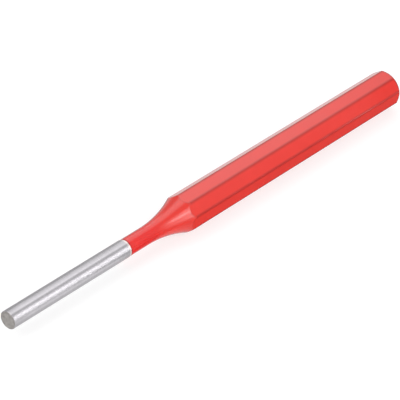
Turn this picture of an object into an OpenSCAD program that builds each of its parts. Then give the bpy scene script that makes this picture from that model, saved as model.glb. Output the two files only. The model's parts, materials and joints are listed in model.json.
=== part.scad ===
// Parallel pin punch: an eight-sided steel bar turned down through a hollow neck to a round pin,
// lacquered from the struck head to just past the neck. It lies on one flat of the bar.

/* [Punch] */
// Length from the tip of the pin to the struck face
overall_len = 150; // [110:1:300]
// Width of the bar across its flats, over the lacquer
bar_af = 10; // [8:0.5:18]
// How much the rounded corners of the bar fall short of sharp ones
corner_cut = 0.08; // [0.02:0.01:0.3]

/* [Pin] */
// Diameter of the bare ground pin
pin_d = 5; // [2:0.1:7]
// Length of the bare steel, from the tip to the edge of the lacquer
bare_len = 42; // [10:1:70]
// Bevel around the tip
tip_bevel = 0.15; // [0.05:0.05:0.8]
// Length of the slight taper that ends the ground pin
fade_len = 0.5; // [0.2:0.1:3]
// How far the lacquered root lies below the ground pin, so that it doesn't rub in a hole
root_relief = 0.075; // [0.02:0.005:0.3]

/* [Neck] */
// Length of the straight lacquered root, from the edge of the lacquer to the neck
root_len = 7; // [1:0.5:20]
// Radius of the hollow curve of the neck
neck_r = 36; // [12:1:60]

/* [Head] */
// Bevel around the struck face, measured at the corners of the bar
head_bevel = 0.93; // [0.3:0.01:2]

/* [Lacquer] */
// Thickness of the lacquer film
coat_t = 0.1; // [0.04:0.01:0.3]

/* [Hidden] */
steel_colour = [0.74, 0.73, 0.75];
lacquer_colour = [0.85, 0.15, 0.13];
// How far a cutting shape runs past what it cuts
overrun = 1;
bar_sides = 8;
half_corner = 180 / bar_sides;
round_fn = 72;
neck_fn = 360;
pin_r = pin_d / 2;
root_r = pin_r - root_relief;
corner_r = bar_af / 2 / cos(half_corner) - corner_cut;
neck_start = bare_len + root_len;
// The neck's curve starts along the root, so its centre stands straight out from there
neck_centre_r = root_r + neck_r;
bevel_start = overall_len - head_bevel;
head_face_r = corner_r - head_bevel;
// Both ends of a bevel at 45 degrees draw back by this share of what its faces are set in
bevel_draw_share = sqrt(2) - 1;

// The outlines below are halves: x is the distance from the axis and y the distance from the tip.

// The bare pin, from the tip to the edge of the lacquer
module pin_outline() {
    polygon([
        [0, 0],
        [pin_r - tip_bevel, 0],
        [pin_r, tip_bevel],
        [pin_r, bare_len - fade_len],
        [root_r, bare_len],
        [0, bare_len]
    ]);
}

// The straight root, set in from the surface of the lacquer, and begun early by run_in
module root_outline(inset, run_in) {
    translate([0, bare_len - run_in]) square([root_r - inset, root_len + run_in]);
}

// Neck, shank and bevelled head, set in from the surface of the lacquer
module bar_outline(inset) {
    side_r = corner_r - inset;
    draw = inset * bevel_draw_share;
    difference() {
        polygon([
            [0, neck_start],
            [side_r, neck_start],
            [side_r, bevel_start - draw],
            [head_face_r - draw, overall_len - inset],
            [0, overall_len - inset]
        ]);
        translate([neck_centre_r, neck_start]) circle(r = neck_r + inset, $fn = neck_fn);
    }
}

// Turns an outline about the axis and trims it to the eight flats, set in from the lacquer's
module turned_bar(inset) {
    flat_r = bar_af / 2 - inset;
    intersection() {
        rotate_extrude($fn = round_fn) children();
        translate([0, 0, -overrun]) rotate([0, 0, half_corner])
            cylinder(r = flat_r / cos(half_corner), h = overall_len + 2 * overrun, $fn = bar_sides);
    }
}

// Lays what stands on its tip down on one flat, with the head towards +X
module laid_down() {
    translate([-overall_len / 2, 0, bar_af / 2]) rotate([0, 90, 0]) children();
}

// One piece of tool steel, from the tip to the struck face
module punch_steel() {
    color(steel_colour) laid_down() turned_bar(coat_t) {
        pin_outline();
        root_outline(coat_t, 0);
        bar_outline(coat_t);
    }
}

// The lacquer film: the form that it shows, less the steel inside it
module lacquer_coat() {
    color(lacquer_colour) laid_down() difference() {
        turned_bar(0) {
            root_outline(0, 0);
            bar_outline(0);
        }
        turned_bar(coat_t) {
            root_outline(coat_t, overrun);
            bar_outline(coat_t);
        }
    }
}

punch_steel();
lacquer_coat();
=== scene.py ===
import json
import math
import bpy
from mathutils import Matrix, Vector


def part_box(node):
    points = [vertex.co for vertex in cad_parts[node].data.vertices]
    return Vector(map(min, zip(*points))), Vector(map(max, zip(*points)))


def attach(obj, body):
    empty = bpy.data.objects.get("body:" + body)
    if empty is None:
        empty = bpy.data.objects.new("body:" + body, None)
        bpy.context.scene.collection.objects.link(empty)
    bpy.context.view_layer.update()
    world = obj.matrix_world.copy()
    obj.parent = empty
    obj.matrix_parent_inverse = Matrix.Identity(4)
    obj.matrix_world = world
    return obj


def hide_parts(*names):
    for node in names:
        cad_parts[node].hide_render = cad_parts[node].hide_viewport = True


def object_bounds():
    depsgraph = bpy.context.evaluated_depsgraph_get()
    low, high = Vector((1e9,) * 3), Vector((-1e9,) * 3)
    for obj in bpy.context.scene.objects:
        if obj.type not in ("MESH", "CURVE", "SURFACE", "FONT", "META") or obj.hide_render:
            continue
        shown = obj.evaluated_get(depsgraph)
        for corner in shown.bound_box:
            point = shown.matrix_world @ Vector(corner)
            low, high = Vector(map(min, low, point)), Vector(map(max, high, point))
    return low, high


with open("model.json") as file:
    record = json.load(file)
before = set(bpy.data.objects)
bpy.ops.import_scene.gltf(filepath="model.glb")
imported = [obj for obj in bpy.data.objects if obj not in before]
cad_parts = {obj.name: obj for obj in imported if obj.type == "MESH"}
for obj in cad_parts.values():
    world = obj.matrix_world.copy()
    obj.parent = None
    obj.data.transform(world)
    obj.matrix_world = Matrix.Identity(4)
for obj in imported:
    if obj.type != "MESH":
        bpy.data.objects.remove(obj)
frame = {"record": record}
cadLow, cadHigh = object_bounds()
mm = 0.001
um = 0.000001

# What the frame says of the punch. It lies along X on one flat, with its tip at the low end.
pinMount = next(m for m in frame["record"]["mounts"] if m["name"] == "drift_pin")
punchLength = cadHigh.x - cadLow.x
halfFlats = (cadHigh.z - cadLow.z) / 2
pinRadius = pinMount["dims"]["r_mm"] * mm
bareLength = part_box("lacquer_coat")[0].x - cadLow.x
filmThickness = cadHigh.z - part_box("punch_steel")[1].z
barSides = 8
halfCorner = math.pi / barSides
# A ring with more than this share of its full radius is on the sides, and the rest are on an end face
sideShare = 0.995
# An end face falls away towards its rim with this power of the distance, so that only the rim is rounded
facePower = 8
# Nearly all of what a noise texture gives lies between these
noiseRange = (0.3, 0.7)


def feed(tree, socket, value):
    if isinstance(value, bpy.types.NodeSocket):
        tree.links.new(value, socket)
    else:
        socket.default_value = value


def addNode(tree, kind, inputs=None, **settings):
    node = tree.nodes.new(kind)
    for name, value in settings.items():
        setattr(node, name, value)
    for name, value in (inputs or {}).items():
        feed(tree, node.inputs[name], value)
    return node


def calc(tree, operation, *values):
    node = addNode(tree, "ShaderNodeMath", operation=operation)
    for socket, value in zip(node.inputs, values):
        feed(tree, socket, value)
    return node.outputs[0]


def mapped(tree, value, fromLow, fromHigh, toLow, toHigh, ease="LINEAR"):
    node = addNode(tree, "ShaderNodeMapRange", interpolation_type=ease, clamp=True)
    for socket, number in zip(node.inputs, (value, fromLow, fromHigh, toLow, toHigh)):
        feed(tree, socket, number)
    return node.outputs[0]


# The turned form, the same for the steel and for the lacquer over it. Stations are counted from the tip.
turnedForm = {
    "Length": punchLength,
    "Half Across Flats": halfFlats,
    "Corner Cut": 0.08 * mm,  # how much the rounded corners fall short of sharp ones
    "Pin Radius": pinRadius,
    "Start Bevel": 0.15 * mm,
    "Fade Start": bareLength - 0.5 * mm,  # where the ground pin starts to taper to the root
    "Fade End": bareLength,
    "Root Radius": pinRadius - 0.075 * mm,
    "Neck Start": bareLength + 7 * mm,
    "Neck Curve": 36 * mm,
    "Head Bevel": 0.93 * mm,
    "Edge Softness": 0.07 * mm,  # how far the neck's edge is rounded over
    "Bevel Softness": 0.03 * mm,
    "Face Rounding": 0.03 * mm,
}


# Distance from the axis to the eight-sided outline, with its corners rounded
def outlineRadius(tree, sizes, offFlat, inset):
    flats = calc(tree, "SUBTRACT", sizes["Half Across Flats"], inset)
    fullRounding = calc(tree, "DIVIDE", sizes["Corner Cut"], 1 / math.cos(halfCorner) - 1)
    rounding = calc(tree, "SUBTRACT", fullRounding, inset)
    offCorner = calc(tree, "SUBTRACT", halfCorner, offFlat)
    toCentre = calc(tree, "SUBTRACT", flats, rounding)
    centre = calc(tree, "DIVIDE", toCentre, math.cos(halfCorner))
    sideways = calc(tree, "MULTIPLY", centre, calc(tree, "SINE", offCorner))
    rest = calc(tree, "SUBTRACT", calc(tree, "POWER", rounding, 2), calc(tree, "POWER", sideways, 2))
    outwards = calc(tree, "SQRT", calc(tree, "MAXIMUM", rest, 0))
    roundRadius = calc(tree, "MULTIPLY_ADD", centre, calc(tree, "COSINE", offCorner), outwards)
    flatRadius = calc(tree, "DIVIDE", flats, calc(tree, "COSINE", offFlat))
    halfFlat = calc(tree, "MULTIPLY", toCentre, math.tan(halfCorner))
    onFlat = calc(tree, "LESS_THAN", offFlat, calc(tree, "ARCTAN2", halfFlat, flats))
    extra = calc(tree, "MULTIPLY", onFlat, calc(tree, "SUBTRACT", flatRadius, roundRadius))
    return calc(tree, "ADD", roundRadius, extra)


# Stations at which the neck and the head's bevel meet the outline, and where the head ends
def meetingStations(tree, sizes, outline, inset):
    curve = calc(tree, "ADD", sizes["Neck Curve"], inset)
    rise = calc(tree, "SUBTRACT", outline, calc(tree, "SUBTRACT", sizes["Root Radius"], inset))
    drop = calc(tree, "SUBTRACT", curve, rise)
    rest = calc(tree, "SUBTRACT", calc(tree, "POWER", curve, 2), calc(tree, "POWER", drop, 2))
    neckMeets = calc(tree, "ADD", sizes["Neck Start"], calc(tree, "SQRT", rest))
    # Both ends of a bevel at 45 degrees draw back by this share of what its faces are set in
    drawn = calc(tree, "MULTIPLY", inset, math.sqrt(2) - 1)
    headEnd = calc(tree, "SUBTRACT", sizes["Length"], inset)
    sharpCorner = calc(tree, "DIVIDE", sizes["Half Across Flats"], math.cos(halfCorner))
    corner = calc(tree, "SUBTRACT", sharpCorner, sizes["Corner Cut"])
    faceRadius = calc(tree, "SUBTRACT", calc(tree, "SUBTRACT", corner, sizes["Head Bevel"]), drawn)
    bevelMeets = calc(tree, "SUBTRACT", headEnd, calc(tree, "SUBTRACT", outline, faceRadius))
    return neckMeets, bevelMeets, headEnd, faceRadius


# The smallest of the turned radius, the flats and the bevels, each blended softly into the next
def punchRadius(tree, sizes, station, outline, inset, head, start):
    fade = (sizes["Fade Start"], sizes["Fade End"], sizes["Pin Radius"], sizes["Root Radius"])
    straight = mapped(tree, station, *fade)
    curve = calc(tree, "ADD", sizes["Neck Curve"], inset)
    along = calc(tree, "MAXIMUM", calc(tree, "SUBTRACT", station, sizes["Neck Start"]), 0)
    rest = calc(tree, "SUBTRACT", calc(tree, "POWER", curve, 2), calc(tree, "POWER", along, 2))
    drop = calc(tree, "SUBTRACT", curve, calc(tree, "SQRT", calc(tree, "MAXIMUM", rest, 0)))
    turned = calc(tree, "ADD", calc(tree, "SUBTRACT", straight, inset), drop)
    radius = calc(tree, "SMOOTH_MIN", turned, outline, sizes["Edge Softness"])
    headEnd, faceRadius = head
    fromHead = calc(tree, "ADD", faceRadius, calc(tree, "SUBTRACT", headEnd, station))
    radius = calc(tree, "SMOOTH_MIN", radius, fromHead, sizes["Bevel Softness"])
    fromStart = calc(tree, "ADD", start["radius"], calc(tree, "SUBTRACT", station, start["station"]))
    return calc(tree, "SMOOTH_MIN", radius, fromStart, sizes["Bevel Softness"])


def inputSizes(tree, names):
    for name in names:
        tree.interface.new_socket(name, in_out="INPUT", socket_type="NodeSocketFloat")
    for name in ("Side Material", "Face Material"):
        tree.interface.new_socket(name, in_out="INPUT", socket_type="NodeSocketMaterial")
    tree.interface.new_socket("Geometry", in_out="OUTPUT", socket_type="NodeSocketGeometry")
    return addNode(tree, "NodeGroupInput").outputs


# How much the film thins and is painted darker as shade: along the corners of the bar behind the neck,
# and along the edges of the neck and the head. It is 0 on the end faces.
def thinningAndShadeLine(tree, film, offFlat, radius, station, neckMeets, bevelMeets, share):
    offCorner = calc(tree, "MULTIPLY", calc(tree, "SUBTRACT", halfCorner, offFlat), radius)
    reach = (0.0, film["cornerWidth"], film["cornerThinAndShade"], 0.0)
    near = mapped(tree, offCorner, *reach, "SMOOTHSTEP")
    behindNeck = calc(tree, "SUBTRACT", station, neckMeets)
    pastNeck = mapped(tree, behindNeck, 0.0, film["cornerStart"], 0.0, 1.0)
    thinnedAndShaded = calc(tree, "MULTIPLY", near, pastNeck)
    for edge, (width, strength) in ((neckMeets, film["neckEdge"]), (bevelMeets, film["headEdge"])):
        fromEdge = calc(tree, "ABSOLUTE", calc(tree, "SUBTRACT", station, edge))
        onEdge = mapped(tree, fromEdge, 0.0, width, strength, 0.0)
        thinnedAndShaded = calc(tree, "MAXIMUM", thinnedAndShaded, onEdge)
    return calc(tree, "MULTIPLY", thinnedAndShaded, calc(tree, "GREATER_THAN", share, sideShare))


# Angles around the axis, closer together at the corners of the bar than on its flats
def ringAngle(tree, share, crowding=1.6):
    sectors = calc(tree, "MULTIPLY", share, barSides)
    offMiddle = calc(tree, "MULTIPLY_ADD", calc(tree, "FRACT", sectors), 2, -1)
    crowded = calc(tree, "POWER", calc(tree, "ABSOLUTE", offMiddle), crowding)
    turned = calc(tree, "MULTIPLY", crowded, calc(tree, "SIGN", offMiddle))
    withinSector = calc(tree, "MULTIPLY_ADD", turned, halfCorner, halfCorner)
    return calc(tree, "MULTIPLY_ADD", calc(tree, "FLOOR", sectors), 2 * halfCorner, withinSector)


def storeValue(tree, geometry, name, value):
    inputs = {"Geometry": geometry, "Name": name, "Value": value}
    store = addNode(tree, "GeometryNodeStoreNamedAttribute", inputs, data_type="FLOAT", domain="POINT")
    return store.outputs[0]


# One skin of rings from the start to the middle of the struck face. A band has a number of rings and,
# where they change along it, the place that it runs to, how far it is set in from the outer surface at
# its two ends, and what share of the full radius it reaches there. A film's skin also carries how much it
# thins and is painted darker as shade from place to place.
def addSkin(tree, sizes, start, bands, columns, insetStart=0.0, film=None):
    rows = sum(band["rings"] for band in bands)
    gridSizes = {"Size X": 1.0, "Size Y": 1.0, "Vertices X": rows + 1, "Vertices Y": columns + 1}
    grid = addNode(tree, "GeometryNodeMeshGrid", gridSizes)
    position = addNode(tree, "GeometryNodeInputPosition").outputs[0]
    place = addNode(tree, "ShaderNodeSeparateXYZ", {0: position}).outputs
    row = calc(tree, "MULTIPLY", calc(tree, "ADD", place["X"], 0.5), rows)
    angle = ringAngle(tree, calc(tree, "ADD", place["Y"], 0.5))
    offFlat = calc(tree, "PINGPONG", angle, halfCorner)
    inset, share, done = insetStart, 1.0, 0
    for band in bands:
        if "inset" in band:
            inset = mapped(tree, row, done, done + band["rings"], *band["inset"])
        if "share" in band:
            reached = mapped(tree, row, done, done + band["rings"], *band["share"])
            share = calc(tree, "MULTIPLY", share, reached)
        done += band["rings"]
    outline = outlineRadius(tree, sizes, offFlat, inset)
    neckMeets, bevelMeets, headEnd, faceRadius = meetingStations(tree, sizes, outline, inset)
    places = {"Tip": 0.0, "Neck Edge": neckMeets, "Bevel Edge": bevelMeets, "Head": headEnd}
    # Add up how far along the punch each band brings the ring
    station, before, done = start["station"], start["station"], 0
    for band in bands:
        if "to" in band:
            anchor, past = band["to"]
            after = calc(tree, "ADD", places[anchor] if anchor in places else sizes[anchor], past)
            length = calc(tree, "SUBTRACT", after, before)
            gone = mapped(tree, row, done, done + band["rings"], 0.0, length)
            station = calc(tree, "ADD", station, gone)
            before = after
        done += band["rings"]
    radius = punchRadius(tree, sizes, station, outline, inset, (headEnd, faceRadius), start)
    dome = calc(tree, "SUBTRACT", 1, calc(tree, "POWER", share, facePower))
    bulge = calc(tree, "MULTIPLY", dome, sizes["Face Rounding"])
    atHead = calc(tree, "GREATER_THAN", station, calc(tree, "MULTIPLY", sizes["Length"], 0.5))
    outwards = calc(tree, "MULTIPLY_ADD", atHead, 2, -1)
    along = calc(tree, "ADD", calc(tree, "MULTIPLY_ADD", bulge, outwards, station), cadLow.x)
    radius = calc(tree, "MULTIPLY", radius, share)
    across = calc(tree, "MULTIPLY", radius, calc(tree, "SINE", angle))
    up = calc(tree, "MULTIPLY_ADD", radius, calc(tree, "COSINE", angle), halfFlats)
    point = addNode(tree, "ShaderNodeCombineXYZ", {"X": along, "Y": across, "Z": up})
    skin = grid.outputs["Mesh"]
    if film:
        thinnedAndShaded = thinningAndShadeLine(tree, film, offFlat, radius, station, neckMeets, bevelMeets, share)
        skin = storeValue(tree, skin, "thinAndShaded", thinnedAndShaded)
    skin = storeValue(tree, skin, "faceShare", share)
    placed = addNode(tree, "GeometryNodeSetPosition", {"Geometry": skin, "Position": point.outputs[0]})
    return placed.outputs[0]


# Joins and welds the skins, and gives the sides and the end faces their materials
def finishTree(tree, sizes, skins, weld=0.2 * um):
    joined = addNode(tree, "GeometryNodeJoinGeometry")
    for skin in skins:
        tree.links.new(skin, joined.inputs[0])
    weldInputs = {"Geometry": joined.outputs[0], "Distance": weld}
    welded = addNode(tree, "GeometryNodeMergeByDistance", weldInputs)
    smoothInputs = {"Geometry": welded.outputs[0], "Shade Smooth": True}
    smooth = addNode(tree, "GeometryNodeSetShadeSmooth", smoothInputs)
    real = addNode(tree, "GeometryNodeRealizeInstances", {"Geometry": smooth.outputs[0]})
    sideInputs = {"Geometry": real.outputs[0], "Material": sizes["Side Material"]}
    sides = addNode(tree, "GeometryNodeSetMaterial", sideInputs)
    faceShare = addNode(tree, "GeometryNodeInputNamedAttribute", {"Name": "faceShare"}, data_type="FLOAT")
    onFace = calc(tree, "LESS_THAN", faceShare.outputs[0], sideShare)
    faceInputs = {"Geometry": sides.outputs[0], "Selection": onFace, "Material": sizes["Face Material"]}
    faces = addNode(tree, "GeometryNodeSetMaterial", faceInputs)
    addNode(tree, "NodeGroupOutput", {"Geometry": faces.outputs[0]})


# Runs a tree on an empty mesh and returns the result as a plain mesh object
def grow(name, tree, values):
    start = bpy.data.objects.new(name + "Start", bpy.data.meshes.new(name + "Start"))
    bpy.context.scene.collection.objects.link(start)
    modifier = start.modifiers.new("grow", "NODES")
    modifier.node_group = tree
    for item in tree.interface.items_tree:
        if item.in_out == "INPUT" and item.name in values:
            modifier[item.identifier] = values[item.name]
    depsgraph = bpy.context.evaluated_depsgraph_get()
    mesh = bpy.data.meshes.new_from_object(start.evaluated_get(depsgraph), depsgraph=depsgraph)
    bpy.data.objects.remove(start)
    mesh.name = name
    piece = bpy.data.objects.new(name, mesh)
    bpy.context.scene.collection.objects.link(piece)
    print(name, "has", len(mesh.polygons), "faces")
    return piece


def newMaterial(name):
    material = bpy.data.materials.new(name)
    material.use_nodes = True
    return material, material.node_tree, material.node_tree.nodes["Principled BSDF"]


# A shader node group with its inputs and outputs, given as names and kinds
def newGroup(name, inputs, outputs):
    group = bpy.data.node_groups.new(name, "ShaderNodeTree")
    for title, kind in inputs.items():
        group.interface.new_socket(title, in_out="INPUT", socket_type="NodeSocket" + kind)
    for title, kind in outputs.items():
        group.interface.new_socket(title, in_out="OUTPUT", socket_type="NodeSocket" + kind)
    return group, addNode(group, "NodeGroupInput").outputs, addNode(group, "NodeGroupOutput").inputs


def useGroup(tree, group, inputs):
    node = addNode(tree, "ShaderNodeGroup", node_tree=group)
    for name, value in inputs.items():
        feed(tree, node.inputs[name], value)
    return node.outputs


def objectPlace(tree):
    return addNode(tree, "ShaderNodeTexCoord").outputs["Object"]


def noise(tree, vector, scale, detail=2.0, roughness=0.5):
    inputs = {"Vector": vector, "Scale": scale, "Detail": detail, "Roughness": roughness}
    return addNode(tree, "ShaderNodeTexNoise", inputs).outputs[0]


def scaled(tree, vector, amount):
    node = addNode(tree, "ShaderNodeVectorMath", {0: vector}, operation="SCALE")
    feed(tree, node.inputs["Scale"], amount)
    return node.outputs[0]


def mixColour(tree, share, first, second):
    node = addNode(tree, "ShaderNodeMix", data_type="RGBA")
    for socket, value in ((0, share), (6, first), (7, second)):
        feed(tree, node.inputs[socket], value)
    return node.outputs[2]


def shaded(tree, colour, shade):
    node = addNode(tree, "ShaderNodeMix", {0: 1.0}, data_type="RGBA", blend_type="MULTIPLY")
    feed(tree, node.inputs[6], colour)
    feed(tree, node.inputs[7], shade)
    return node.outputs[2]


def addBump(tree, height, depth, under=None):
    bump = addNode(tree, "ShaderNodeBump", {"Height": height, "Distance": depth, "Strength": 1.0})
    if under:
        tree.links.new(under, bump.inputs["Normal"])
    return bump.outputs[0]


# Hairline scratches as a piece's dictionary describes them
def useScratches(tree, scratches, place, look):
    sizes = {"Length": look["scratchLength"], "Width": look["scratchWidth"]}
    inputs = {"Vector": place, "Sparseness": look["scratchSparseness"]}
    return useGroup(tree, scratches, inputs | sizes)["Mask"]


# Fine lines that a grinding wheel or a lathe tool leaves around the axis. They are counted along it and
# outwards from it, so they run around the sides and in rings on the end faces.
def makeTurningMarks():
    inputs = {"Vector": "Vector", "Axis Height": "Float", "Spacing": "Float", "Wander": "Float"}
    tree, given, result = newGroup("turningMarks", inputs, {"Marks": "Float", "Radius": "Float"})
    place = addNode(tree, "ShaderNodeSeparateXYZ", {0: given["Vector"]}).outputs
    up = calc(tree, "SUBTRACT", place["Z"], given["Axis Height"])
    outwards = addNode(tree, "ShaderNodeCombineXYZ", {"Y": place["Y"], "Z": up}).outputs[0]
    radius = addNode(tree, "ShaderNodeVectorMath", {0: outwards}, operation="LENGTH").outputs["Value"]
    counted = calc(tree, "DIVIDE", calc(tree, "ADD", place["X"], radius), given["Spacing"])
    around = addNode(tree, "ShaderNodeVectorMath", {0: outwards}, operation="NORMALIZE").outputs[0]
    wander = addNode(tree, "ShaderNodeSeparateXYZ", {0: scaled(tree, around, given["Wander"])}).outputs
    lines = addNode(tree, "ShaderNodeCombineXYZ", {"X": counted, "Y": wander["Y"], "Z": wander["Z"]})
    grain = noise(tree, lines.outputs[0], scale=1.0, detail=3.0, roughness=0.6)
    feed(tree, result["Marks"], mapped(tree, grain, *noiseRange, 0.0, 1.0))
    feed(tree, result["Radius"], radius)
    return tree


# Soft patches, also as a shade around 1 by which a colour is multiplied
def makePatches():
    inputs = {"Vector": "Vector", "Size": "Float", "Strength": "Float"}
    tree, given, result = newGroup("patches", inputs, {"Shade": "Float", "Patch": "Float"})
    perSize = calc(tree, "DIVIDE", 1.0, given["Size"])
    grain = noise(tree, given["Vector"], perSize, detail=4.0, roughness=0.6)
    patch = mapped(tree, grain, *noiseRange, 0.0, 1.0)
    swing = calc(tree, "MULTIPLY", calc(tree, "MULTIPLY_ADD", patch, 2.0, -1.0), given["Strength"])
    feed(tree, result["Shade"], calc(tree, "ADD", swing, 1.0))
    feed(tree, result["Patch"], patch)
    return tree


scratchForm = {
    "bend": 0.4,  # bends for each length of a scratch
    "gaps": 0.7,  # scratched and clear patches for each length
    "fade": 0.08,  # over how much of the noise a scratched patch fades out
}


# Sparse hairline scratches from handling, 1 on a scratch
def makeScratches():
    inputs = {"Vector": "Vector", "Length": "Float", "Width": "Float", "Sparseness": "Float"}
    tree, given, result = newGroup("scratches", inputs, {"Mask": "Float"})
    perLength = calc(tree, "DIVIDE", 1.0, given["Length"])
    bent = noise(tree, given["Vector"], calc(tree, "MULTIPLY", perLength, scratchForm["bend"]), detail=1.0)
    allWays = addNode(tree, "ShaderNodeCombineXYZ", {0: bent, 1: bent, 2: bent}).outputs[0]
    offset = scaled(tree, allWays, given["Length"])
    moved = addNode(tree, "ShaderNodeVectorMath", {0: given["Vector"], 1: offset}, operation="ADD")
    cells = {"Vector": moved.outputs[0], "Scale": perLength}
    edges = addNode(tree, "ShaderNodeTexVoronoi", cells, feature="DISTANCE_TO_EDGE")
    width = calc(tree, "MULTIPLY", given["Width"], perLength)
    line = mapped(tree, edges.outputs["Distance"], 0.0, width, 1.0, 0.0)
    where = noise(tree, given["Vector"], calc(tree, "MULTIPLY", perLength, scratchForm["gaps"]))
    full = calc(tree, "ADD", given["Sparseness"], scratchForm["fade"])
    there = mapped(tree, where, given["Sparseness"], full, 0.0, 1.0)
    feed(tree, result["Mask"], calc(tree, "MULTIPLY", line, there))
    return tree


steelPunch = {
    "colour": (0.44, 0.427, 0.447),
    "ringHighlightColour": (0.77, 0.70, 0.68),  # the matt ring beside the lacquer, which was masked and never handled, painted lighter as a highlight
    "cleanWidth": 0.85 * mm,
    "cleanFade": 0.25 * mm,  # length over which the ring begins
    "cleanRoughness": 0.6,
    "bleedColour": (0.40, 0.02, 0.015),  # the last of the lacquer, which crept under the mask
    "bleedWidth": 0.28 * mm,  # it fades in over half of this
    "roughness": (0.22, 0.45),  # at the bottom and on the crests of the grinding marks
    "anisotropy": 0.95,
    "fineSpacing": 0.10 * mm,  # between the fine lines that grinding leaves around the pin
    "fineDepth": 0.35 * um,
    "fineWander": 2.5,  # how much the lines change on their way around
    "wideSpacing": 0.55 * mm,  # between the faint bands that the wheel leaves as it feeds along
    "wideShade": 0.035,
    "wideWander": 1.2,
    "patchSize": 2.6 * mm,
    "patchShade": 0.03,
    "scratchLength": 5 * mm,
    "scratchWidth": 0.035 * mm,
    "scratchSparseness": 0.56,
    "scratchDepth": 2.0,  # in depths of the fine lines
    "scratchGloss": 0.12,  # how much less rough a scratch is
    "tipWear": 5.0 * mm,  # length over which the working end is duller
    "tipShade": 0.95,
    "tipRoughness": 0.05,  # how much rougher it is
    "faceColour": (0.325, 0.307, 0.295),
    "faceRimShadeColour": (0.228, 0.212, 0.20),
    "faceRimWidth": 0.45 * mm,
    "faceRimGaps": 0.4,  # share of the rim's painted shade that is left in the patches
    "faceRoughness": (0.42, 0.62),
    "faceSpacing": 0.26 * mm,
    "faceRingShade": (0.86, 1.14),
    "faceWander": 0.8,
    "facePatch": 0.9 * mm,
    "facePatchShade": 0.3,
    "facePatchDepth": 2.0,  # in depths of the rings
    "faceDepth": 4 * um,
    "edgeRun": 0.3 * mm,  # rings stand closer together this far each side of an edge
    "columns": barSides * 24,
}


def groundSteel(turningMarks, patches, scratches):
    material, tree, shader = newMaterial("groundSteel")
    place = objectPlace(tree)
    marks = {"Vector": place, "Axis Height": halfFlats}
    fineMarks = {"Spacing": steelPunch["fineSpacing"], "Wander": steelPunch["fineWander"]}
    fine = useGroup(tree, turningMarks, marks | fineMarks)
    wideMarks = {"Spacing": steelPunch["wideSpacing"], "Wander": steelPunch["wideWander"]}
    wide = useGroup(tree, turningMarks, marks | wideMarks)
    patch = {"Vector": place, "Size": steelPunch["patchSize"], "Strength": steelPunch["patchShade"]}
    blotch = useGroup(tree, patches, patch)
    scratch = useScratches(tree, scratches, place, steelPunch)
    along = addNode(tree, "ShaderNodeSeparateXYZ", {0: place}).outputs["X"]
    edge = cadLow.x + turnedForm["Fade End"]
    cleanStart = edge - steelPunch["cleanWidth"]
    ringAndHighlight = mapped(tree, along, cleanStart, cleanStart + steelPunch["cleanFade"], 0.0, 1.0)
    bleedStart = edge - steelPunch["bleedWidth"]
    bleed = mapped(tree, along, bleedStart, bleedStart + steelPunch["bleedWidth"] / 2, 0.0, 1.0)
    worn = mapped(tree, along, cadLow.x, cadLow.x + steelPunch["tipWear"], 1.0, 0.0, "SMOOTHSTEP")
    # The ring beside the lacquer is painted lighter as a highlight, and made rougher
    colour = mixColour(tree, ringAndHighlight, (*steelPunch["colour"], 1), (*steelPunch["ringHighlightColour"], 1))
    colour = mixColour(tree, bleed, colour, (*steelPunch["bleedColour"], 1))
    banding = mapped(tree, wide["Marks"], 0.0, 1.0, 1 - steelPunch["wideShade"], 1 + steelPunch["wideShade"])
    shade = calc(tree, "MULTIPLY", banding, blotch["Shade"])
    shade = calc(tree, "MULTIPLY", shade, mapped(tree, worn, 0.0, 1.0, 1.0, steelPunch["tipShade"]))
    tree.links.new(shaded(tree, colour, shade), shader.inputs["Base Color"])
    shader.inputs["Metallic"].default_value = 1.0
    rough = mapped(tree, fine["Marks"], 0.0, 1.0, *steelPunch["roughness"])
    rough = calc(tree, "MULTIPLY_ADD", worn, steelPunch["tipRoughness"], rough)
    rough = calc(tree, "MULTIPLY_ADD", scratch, -steelPunch["scratchGloss"], rough)
    rough = mapped(tree, ringAndHighlight, 0.0, 1.0, rough, steelPunch["cleanRoughness"])
    tree.links.new(rough, shader.inputs["Roughness"])
    height = calc(tree, "MULTIPLY_ADD", scratch, -steelPunch["scratchDepth"], fine["Marks"])
    tree.links.new(addBump(tree, height, steelPunch["fineDepth"]), shader.inputs["Normal"])
    # The marks run around the pin, so the gloss spreads along it, a quarter turn from them
    shader.inputs["Anisotropic"].default_value = steelPunch["anisotropy"]
    shader.inputs["Anisotropic Rotation"].default_value = 0.25
    tangent = addNode(tree, "ShaderNodeTangent", direction_type="RADIAL", axis="X")
    tree.links.new(tangent.outputs[0], shader.inputs["Tangent"])
    return material


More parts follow.
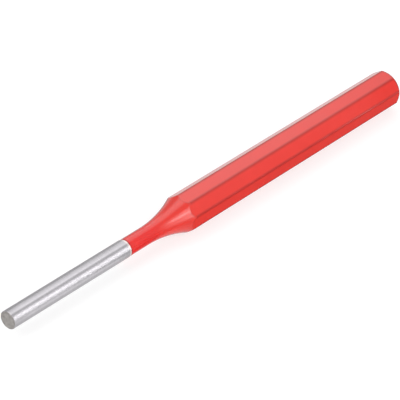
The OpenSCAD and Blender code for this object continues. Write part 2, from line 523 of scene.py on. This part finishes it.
# The flat end that meets the pin to be driven out: turned, then matted by use, with painted shade around its
# rim
def tipFaceSteel(turningMarks, patches):
    material, tree, shader = newMaterial("tipFaceSteel")
    place = objectPlace(tree)
    marks = {"Vector": place, "Axis Height": halfFlats}
    faceMarks = {"Spacing": steelPunch["faceSpacing"], "Wander": steelPunch["faceWander"]}
    rings = useGroup(tree, turningMarks, marks | faceMarks)
    patch = {"Vector": place, "Size": steelPunch["facePatch"], "Strength": steelPunch["facePatchShade"]}
    blotch = useGroup(tree, patches, patch)
    # The rim of the face is painted darker as shade, broken up by the patches
    rimStart = pinRadius - steelPunch["faceRimWidth"]
    rimShade = mapped(tree, rings["Radius"], rimStart, pinRadius, 0.0, 1.0, "SMOOTHSTEP")
    left = mapped(tree, blotch["Patch"], 0.0, 1.0, 1.0, steelPunch["faceRimGaps"])
    rimShade = calc(tree, "MULTIPLY", rimShade, left)
    colour = mixColour(tree, rimShade, (*steelPunch["faceColour"], 1), (*steelPunch["faceRimShadeColour"], 1))
    ringShade = mapped(tree, rings["Marks"], 0.0, 1.0, *steelPunch["faceRingShade"])
    shade = calc(tree, "MULTIPLY", blotch["Shade"], ringShade)
    tree.links.new(shaded(tree, colour, shade), shader.inputs["Base Color"])
    shader.inputs["Metallic"].default_value = 1.0
    rough = mapped(tree, blotch["Patch"], 0.0, 1.0, *steelPunch["faceRoughness"])
    tree.links.new(rough, shader.inputs["Roughness"])
    height = calc(tree, "MULTIPLY_ADD", blotch["Patch"], steelPunch["facePatchDepth"], rings["Marks"])
    tree.links.new(addBump(tree, height, steelPunch["faceDepth"]), shader.inputs["Normal"])
    return material


def makeSteelPunch(sideMaterial, faceMaterial):
    tree = bpy.data.node_groups.new("turnedSteel", "GeometryNodeTree")
    sizes = inputSizes(tree, turnedForm)
    rounding = turnedForm["Face Rounding"]
    bevel = turnedForm["Start Bevel"]
    run = steelPunch["edgeRun"]
    bands = [
        {"rings": 8, "share": (0.0, 1.0)},
        {"rings": 12, "to": ("Tip", 2 * bevel)},
        {"rings": 30, "to": ("Fade Start", -run)},
        {"rings": 12, "to": ("Fade End", 0.0)},
        {"rings": 2, "inset": (0.0, filmThickness)},
        {"rings": 4, "to": ("Neck Start", 0.0)},
        {"rings": 24, "to": ("Neck Edge", -run)},
        {"rings": 8, "to": ("Neck Edge", run)},
        {"rings": 16, "to": ("Bevel Edge", -run)},
        {"rings": 6, "to": ("Bevel Edge", run)},
        {"rings": 3, "to": ("Head", -rounding)},
        {"rings": 5, "share": (1.0, 0.0)},
    ]
    start = {"station": rounding, "radius": pinRadius - bevel + rounding}
    skin = addSkin(tree, sizes, start, bands, steelPunch["columns"])
    finishTree(tree, sizes, [skin])
    materials = {"Side Material": sideMaterial, "Face Material": faceMaterial}
    return grow("steelPunch", tree, turnedForm | materials)


lacquerCoat = {
    "colour": (0.715, 0.024, 0.0145),
    "cornerThinAndShadeColour": (0.33, 0.013, 0.010),  # where the film draws thin over a corner of the bar, darkened further as painted shade
    "cornerWidth": 0.75 * mm,
    "cornerThinAndShade": 0.7,
    "cornerStart": 0.5 * mm,  # how soon behind the neck the thin corners begin
    "neckEdge": (0.4 * mm, 0.28),  # how wide and how strongly it thins, with painted shade, along the neck's edge
    "headEdge": (0.55 * mm, 1.0),  # and along the head's
    "poolColour": (0.71, 0.013, 0.010),  # where it stands thicker, around the root of the pin
    "lipShadeColour": (0.50, 0.012, 0.010),  # and along its own edge, where it is darkened further as painted shade
    "lipWidth": 0.45 * mm,
    "lipBevel": 0.05 * mm,
    "grazing": (0.575, 0.8),  # seen this far from square, from 0 to 1, the colour is painted darker as shade towards the outline
    "grazingShade": 0.7,
    "roughness": (0.11, 0.19),
    "glossPatch": 3 * mm,
    "indexOfRefraction": 1.5,
    "patchSize": 6 * mm,
    "patchShade": 0.025,
    "peelSize": 0.8 * mm,  # the slight orange peel of a sprayed film
    "peelDepth": 1.3 * um,
    "neckMarkSpacing": 0.3 * mm,  # turning marks of the steel that show through on the neck and the head
    "neckMarkDepth": 0.35 * um,
    "neckMarkWander": 1.0,
    "scratchLength": 9 * mm,
    "scratchWidth": 0.04 * mm,
    "scratchSparseness": 0.6,
    "scratchRoughness": 0.2,  # how much rougher a scratch is
    "edgeRun": 0.6 * mm,
    "columns": barSides * 24,
}


def redLacquer(turningMarks, patches, scratches):
    material, tree, shader = newMaterial("redLacquer")
    place = objectPlace(tree)
    along = addNode(tree, "ShaderNodeSeparateXYZ", {0: place}).outputs["X"]
    line = addNode(tree, "ShaderNodeAttribute", attribute_name="thinAndShaded").outputs["Fac"]
    patch = {"Vector": place, "Size": lacquerCoat["patchSize"], "Strength": lacquerCoat["patchShade"]}
    film = useGroup(tree, patches, patch)
    gloss = useGroup(tree, patches, {"Vector": place, "Size": lacquerCoat["glossPatch"]})
    marks = {"Vector": place, "Axis Height": halfFlats}
    neckMarks = {"Spacing": lacquerCoat["neckMarkSpacing"], "Wander": lacquerCoat["neckMarkWander"]}
    rings = useGroup(tree, turningMarks, marks | neckMarks)
    scratch = useScratches(tree, scratches, place, lacquerCoat)
    edge = cadLow.x + turnedForm["Fade End"]
    neckStart = cadLow.x + turnedForm["Neck Start"]
    lip = mapped(tree, along, edge, edge + lacquerCoat["lipWidth"], 1.0, 0.0, "SMOOTHSTEP")
    poolEnd = neckStart + (neckStart - edge)
    pool = mapped(tree, along, neckStart, poolEnd, 1.0, 0.0, "SMOOTHSTEP")
    colour = mixColour(tree, pool, (*lacquerCoat["colour"], 1), (*lacquerCoat["poolColour"], 1))
    # Along the film's edge the colour is painted darker as shade
    colour = mixColour(tree, lip, colour, (*lacquerCoat["lipShadeColour"], 1))
    # Corners and edges are darker: a thinner film, deepened as painted shade
    colour = mixColour(tree, line, colour, (*lacquerCoat["cornerThinAndShadeColour"], 1))
    # Painted shade: the colour darkens where the film is seen edge-on
    facing = addNode(tree, "ShaderNodeLayerWeight", {"Blend": 0.5}).outputs["Facing"]
    grazingPaintedShade = mapped(tree, facing, *lacquerCoat["grazing"], 1.0, lacquerCoat["grazingShade"])
    shade = calc(tree, "MULTIPLY", film["Shade"], grazingPaintedShade)
    tree.links.new(shaded(tree, colour, shade), shader.inputs["Base Color"])
    rough = mapped(tree, gloss["Patch"], 0.0, 1.0, *lacquerCoat["roughness"])
    rough = calc(tree, "MULTIPLY_ADD", scratch, lacquerCoat["scratchRoughness"], rough)
    tree.links.new(rough, shader.inputs["Roughness"])
    shader.inputs["IOR"].default_value = lacquerCoat["indexOfRefraction"]
    peel = noise(tree, place, 1 / lacquerCoat["peelSize"], detail=1.0)
    wavy = addBump(tree, peel, lacquerCoat["peelDepth"])
    # The bar's flats are drawn, not turned, so the rings fade out past the neck
    turnedEnd = neckStart + math.sqrt(2 * turnedForm["Neck Curve"] * (halfFlats - pinRadius))
    onNeck = mapped(tree, along, turnedEnd - lacquerCoat["edgeRun"], turnedEnd, 1.0, 0.0)
    onHead = calc(tree, "GREATER_THAN", along, cadHigh.x - turnedForm["Head Bevel"])
    shown = calc(tree, "MULTIPLY", rings["Marks"], calc(tree, "MAXIMUM", onNeck, onHead))
    tree.links.new(addBump(tree, shown, lacquerCoat["neckMarkDepth"], wavy), shader.inputs["Normal"])
    return material


def makeLacquerCoat(material):
    tree = bpy.data.node_groups.new("lacquerFilm", "GeometryNodeTree")
    sizes = inputSizes(tree, turnedForm)
    rounding = turnedForm["Face Rounding"]
    rootRadius = turnedForm["Root Radius"]
    run = lacquerCoat["edgeRun"]
    outerBands = [
        {"rings": 3, "inset": (filmThickness, 0.0)},
        {"rings": 8, "to": ("Fade End", run)},
        {"rings": 8, "to": ("Neck Start", 0.0)},
        {"rings": 48, "to": ("Neck Edge", -run)},
        {"rings": 22, "to": ("Neck Edge", run)},
        {"rings": 30, "to": ("Bevel Edge", -run)},
        {"rings": 18, "to": ("Bevel Edge", 0.0)},
        {"rings": 8, "to": ("Bevel Edge", run / 2)},
        {"rings": 4, "to": ("Head", -rounding)},
        {"rings": 10, "share": (1.0, 0.0)},
    ]
    innerBands = [
        {"rings": 4, "to": ("Neck Start", 0.0)},
        {"rings": 24, "to": ("Neck Edge", -run)},
        {"rings": 8, "to": ("Neck Edge", run)},
        {"rings": 16, "to": ("Bevel Edge", -run)},
        {"rings": 6, "to": ("Bevel Edge", run / 2)},
        {"rings": 3, "to": ("Head", -rounding)},
        {"rings": 5, "share": (1.0, 0.0)},
    ]
    outerStart = {"station": bareLength, "radius": rootRadius - lacquerCoat["lipBevel"]}
    innerStart = {"station": bareLength, "radius": rootRadius}
    columns = lacquerCoat["columns"]
    outer = addSkin(tree, sizes, outerStart, outerBands, columns, film=lacquerCoat)
    inner = addSkin(tree, sizes, innerStart, innerBands, columns, filmThickness, lacquerCoat)
    turnedIn = addNode(tree, "GeometryNodeFlipFaces", {"Mesh": inner}).outputs[0]
    finishTree(tree, sizes, [outer, turnedIn])
    materials = {"Side Material": material, "Face Material": material}
    return grow("lacquerCoat", tree, turnedForm | materials)


# The camera stands where the photograph was taken from, on the tip's side, and is tilted a little
cameraView = {
    "azimuth": -55.870,
    "elevation": 39.795,
    "roll": 11.746,
    "distance": 663.93 * mm,
    "aim": Vector((-2.328, 1.421, 3.644)) * mm,
    "lens": 229.286,
    "sensor": 36,
    "clipStart": 10 * mm,
}


def addCamera():
    azimuth, elevation, roll = (math.radians(cameraView[k]) for k in ("azimuth", "elevation", "roll"))
    flat = math.cos(elevation)
    back = Vector((math.sin(azimuth) * flat, -math.cos(azimuth) * flat, math.sin(elevation)))
    camera = bpy.data.objects.new("photoCamera", bpy.data.cameras.new("photoCamera"))
    bpy.context.scene.collection.objects.link(camera)
    turned = (-back).to_track_quat("-Z", "Y").to_matrix().to_4x4() @ Matrix.Rotation(roll, 4, "Z")
    camera.matrix_world = Matrix.Translation(cameraView["aim"] + back * cameraView["distance"]) @ turned
    camera.data.lens = cameraView["lens"]
    camera.data.sensor_width = cameraView["sensor"]
    camera.data.clip_start = cameraView["clipStart"]
    bpy.context.scene.camera = camera


studio = {
    "roomLight": 0.34,
    "floorColour": 0.97,
    "floorSeen": 0.36,  # share of its light that the floor sends back to the camera and to reflections
    "floorGlow": 0.715,
    "floorSize": 4.0,
    "floorDrop": 0.02 * mm,
}


# 1 for the rays by which the camera, a reflection or glass sees the white background
def seenDirectly(tree):
    path = addNode(tree, "ShaderNodeLightPath").outputs
    either = calc(tree, "MAXIMUM", path["Is Camera Ray"], path["Is Glossy Ray"])
    return calc(tree, "MAXIMUM", either, path["Is Transmission Ray"])


def addRoom():
    world = bpy.data.worlds.new("whiteRoom")
    bpy.context.scene.world = world
    world.use_nodes = True
    tree = world.node_tree
    background = tree.nodes["Background"]
    background.inputs["Color"].default_value = (1, 1, 1, 1)
    strength = mapped(tree, seenDirectly(tree), 0.0, 1.0, studio["roomLight"], 1.0)
    tree.links.new(strength, background.inputs["Strength"])


def addFloor():
    half = studio["floorSize"] / 2
    mesh = bpy.data.meshes.new("floor")
    corners = [(-half, -half), (half, -half), (half, half), (-half, half)]
    mesh.from_pydata([(x, y, cadLow.z - studio["floorDrop"]) for x, y in corners], [], [(0, 1, 2, 3)])
    floor = bpy.data.objects.new("floor", mesh)
    bpy.context.scene.collection.objects.link(floor)
    material, tree, shader = newMaterial("paleFloor")
    grey = mapped(tree, seenDirectly(tree), 0.0, 1.0, studio["floorColour"], studio["floorSeen"])
    tree.links.new(grey, shader.inputs["Base Color"])
    shader.inputs["Roughness"].default_value = 1.0
    shader.inputs["Specular IOR Level"].default_value = 0.0
    shader.inputs["Emission Color"].default_value = (1, 1, 1, 1)
    glow = calc(tree, "MULTIPLY", seenDirectly(tree), studio["floorGlow"])
    tree.links.new(glow, shader.inputs["Emission Strength"])
    mesh.materials.append(material)


# Panels are placed by the angle at which the punch sees them, around its axis (0 is straight up, 90 is
# towards the camera's side) and along it (towards the head). Ends and sides fade over shares of a panel,
# and the slope is its brightness at its two ends. The low panel lights the lower flats and isn't reflected.
panels = {
    "keyPanel": {
        "around": 56, "along": 4, "distance": 0.7, "width": 0.54, "height": 0.86,
        "brightness": 4.35, "softEnds": 0.08, "softSides": 0.14, "slope": (1.0, 0.05),
    },
    "skyPanel": {
        "around": -25, "along": 16, "distance": 0.7, "width": 1.02, "height": 0.8,
        "brightness": 2.0, "softEnds": 0.12, "softSides": 0.35, "slope": (1.25, 0.44),
    },
    "tipPanel": {
        "around": -28, "along": -52, "distance": 0.8, "width": 0.6, "height": 0.8,
        "brightness": 2.6, "softEnds": 0.3, "softSides": 0.3, "slope": (1.0, 1.0),
    },
    "frontPanel": {
        "around": 92, "along": 54, "distance": 0.8, "width": 0.5, "height": 0.6,
        "brightness": 3.6, "softEnds": 0.3, "softSides": 0.3, "slope": (1.0, 1.0),
    },
    "lowPanel": {
        "around": 85, "along": 5, "distance": 0.8, "width": 0.8, "height": 0.25,
        "brightness": 1.7, "softEnds": 0.2, "softSides": 0.2, "slope": (1.0, 1.0), "reflected": False,
    },
}


# 1 inside a unit square, fading to 0 at its edges
def softSquare(tree, place, edges):
    inside = 1.0
    for axis, edge in zip("XY", edges):
        fromEdge = calc(tree, "PINGPONG", place[axis], 0.5)
        inside = calc(tree, "MULTIPLY", inside, mapped(tree, fromEdge, 0.0, edge, 0.0, 1.0, "SMOOTHSTEP"))
    return inside


def addPanel(name, look):
    around, along = math.radians(look["around"]), math.radians(look["along"])
    flat = math.cos(along)
    towards = Vector((math.sin(along), -math.sin(around) * flat, math.cos(around) * flat))
    light = bpy.data.lights.new(name, "AREA")
    light.shape = "RECTANGLE"
    light.size = look["width"]
    light.size_y = look["height"]
    light.energy = look["brightness"] * math.pi * look["width"] * look["height"]
    light.use_nodes = True
    tree = light.node_tree
    spot = addNode(tree, "ShaderNodeNewGeometry").outputs["Parametric"]
    place = addNode(tree, "ShaderNodeSeparateXYZ", {0: spot}).outputs
    soft = softSquare(tree, place, (look["softEnds"], look["softSides"]))
    slope = mapped(tree, place["X"], 0.0, 1.0, *look["slope"])
    feed(tree, tree.nodes["Emission"].inputs["Strength"], calc(tree, "MULTIPLY", soft, slope))
    panel = bpy.data.objects.new(name, light)
    bpy.context.scene.collection.objects.link(panel)
    lengthwise = (Vector((1, 0, 0)) - towards * towards.x).normalized()
    axes = Matrix((lengthwise, towards.cross(lengthwise), towards)).transposed().to_4x4()
    middle = Vector((0, 0, halfFlats)) + towards * look["distance"]
    panel.matrix_world = Matrix.Translation(middle) @ axes
    panel.visible_camera = False
    panel.visible_glossy = look.get("reflected", True)


# Cards that only reflections see, as a product photographer sets them. Grey ones darken what the punch
# mirrors and bright ones put streaks on it. Each spans two directions from a corner, in mm, its glow changes
# along one of them, and its edges fade over shares of it.
cards = {
    "headSideCard": {
        "corner": (300, 100, 0), "across": (0, -850, 0), "up": (0, 0, 220),
        "glow": (0.15, 1.0), "glowAxis": "Y", "soft": (0.1, 0.02),
    },
    "shankCard": {
        "corner": (-13, 7, 0), "across": (105, 0, 0), "up": (0, -60, 0),
        "glow": (0.21, 0.24), "glowAxis": "X", "soft": (0.05, 0.1),
    },
    "rootCard": {
        "corner": (-33, -2.2, 0), "across": (12, 0, 0), "up": (14, -20, 0),
        "glow": (0.2, 0.3), "glowAxis": "X", "soft": (0.2, 0.15),
    },
    "backCard": {
        "corner": (-80, 3, 0), "across": (78, 0, 0), "up": (0, 60, 0),
        "glow": (0.35, 0.95), "glowAxis": "Y", "soft": (0.05, 0.05),
    },
    "pinCard": {
        "corner": (-80, -9, 0), "across": (56, 0, 0), "up": (0, -34, 0),
        "glow": (1.6, 1.35), "glowAxis": "Y", "soft": (0.1, 0.12),
    },
    "pinEndCard": {
        "corner": (298, -36, 114), "across": (0, -122, 58), "up": (0, -120, -167),
        "glow": (2.8, 11.2), "glowAxis": "Y", "soft": (0.2, 0.1),
    },
    "headFrontCard": {
        "corner": (100, 6, 31), "across": (0, -31, 18), "up": (0, -24, -42),
        "glow": (0.5, 0.5), "glowAxis": "Y", "soft": (0.15, 0.15),
    },
    "neckFrontCard": {
        "corner": (-103, -388, 469), "across": (300, 0, 0), "up": (0, -125, -143),
        "glow": (8.2, 5.8), "glowAxis": "X", "soft": (0.25, 0.34),
    },
    "rootTopCard": {
        "corner": (90, 205, 225), "across": (130, 0, 0), "up": (0, 60, -110),
        "glow": (2.9, 2.6), "glowAxis": "Y", "soft": (0.25, 0.25),
    },
    "pinTopCard": {
        "corner": (-85, 0.3, 15), "across": (61, 0, 0), "up": (0, 14, 0),
        "glow": (1.8, 1.0), "glowAxis": "Y", "soft": (0.08, 0.1),
    },
    "rearCard": {
        "corner": (-600, 500, 0), "across": (2200, 0, 0), "up": (0, 0, 400),
        "glow": (0.6, 0.88), "glowAxis": "Y", "soft": (0.1, 0.25),
    },
    "headCard": {
        "corner": (75.5, -6, 0.005), "across": (16, 0, 0), "up": (0, 20, 0),
        "glow": (0.03, 0.05), "glowAxis": "Y", "soft": (0.1, 0.1),
    },
}


def addCard(name, look):
    corner, across, up = (Vector(look[key]) * mm for key in ("corner", "across", "up"))
    corner.z += cadLow.z - studio["floorDrop"] / 2
    mesh = bpy.data.meshes.new(name)
    mesh.from_pydata([corner, corner + across, corner + across + up, corner + up], [], [(0, 1, 2, 3)])
    spread = mesh.uv_layers.new(name="card")
    for loop, place in zip(spread.data, ((0, 0), (1, 0), (1, 1), (0, 1))):
        loop.uv = place
    card = bpy.data.objects.new(name, mesh)
    bpy.context.scene.collection.objects.link(card)
    material, tree, shader = newMaterial(name)
    tree.nodes.remove(shader)
    spot = addNode(tree, "ShaderNodeTexCoord").outputs["UV"]
    place = addNode(tree, "ShaderNodeSeparateXYZ", {0: spot}).outputs
    glow = mapped(tree, place[look["glowAxis"]], 0.0, 1.0, *look["glow"])
    shine = addNode(tree, "ShaderNodeEmission", {"Strength": glow})
    clear = addNode(tree, "ShaderNodeBsdfTransparent")
    layers = {0: softSquare(tree, place, look["soft"]), 1: clear.outputs[0], 2: shine.outputs[0]}
    mixed = addNode(tree, "ShaderNodeMixShader", layers)
    tree.links.new(mixed.outputs[0], tree.nodes["Material Output"].inputs["Surface"])
    mesh.materials.append(material)
    for rays in ("camera", "diffuse", "transmission", "volume_scatter", "shadow"):
        setattr(card, "visible_" + rays, False)


print("Camera, room, floor, panels and cards")
addCamera()
addRoom()
addFloor()
for name, look in panels.items():
    addPanel(name, look)
for name, look in cards.items():
    addCard(name, look)

print("Turning marks, patches and scratches")
turningMarks = makeTurningMarks()
patches = makePatches()
scratches = makeScratches()

print("Steel")
steelSides = groundSteel(turningMarks, patches, scratches)
steel = makeSteelPunch(steelSides, tipFaceSteel(turningMarks, patches))
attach(steel, "root")
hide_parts("punch_steel")

print("Lacquer")
lacquer = makeLacquerCoat(redLacquer(turningMarks, patches, scratches))
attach(lacquer, "root")
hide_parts("lacquer_coat")

bpy.context.scene.view_settings.view_transform = "Standard"
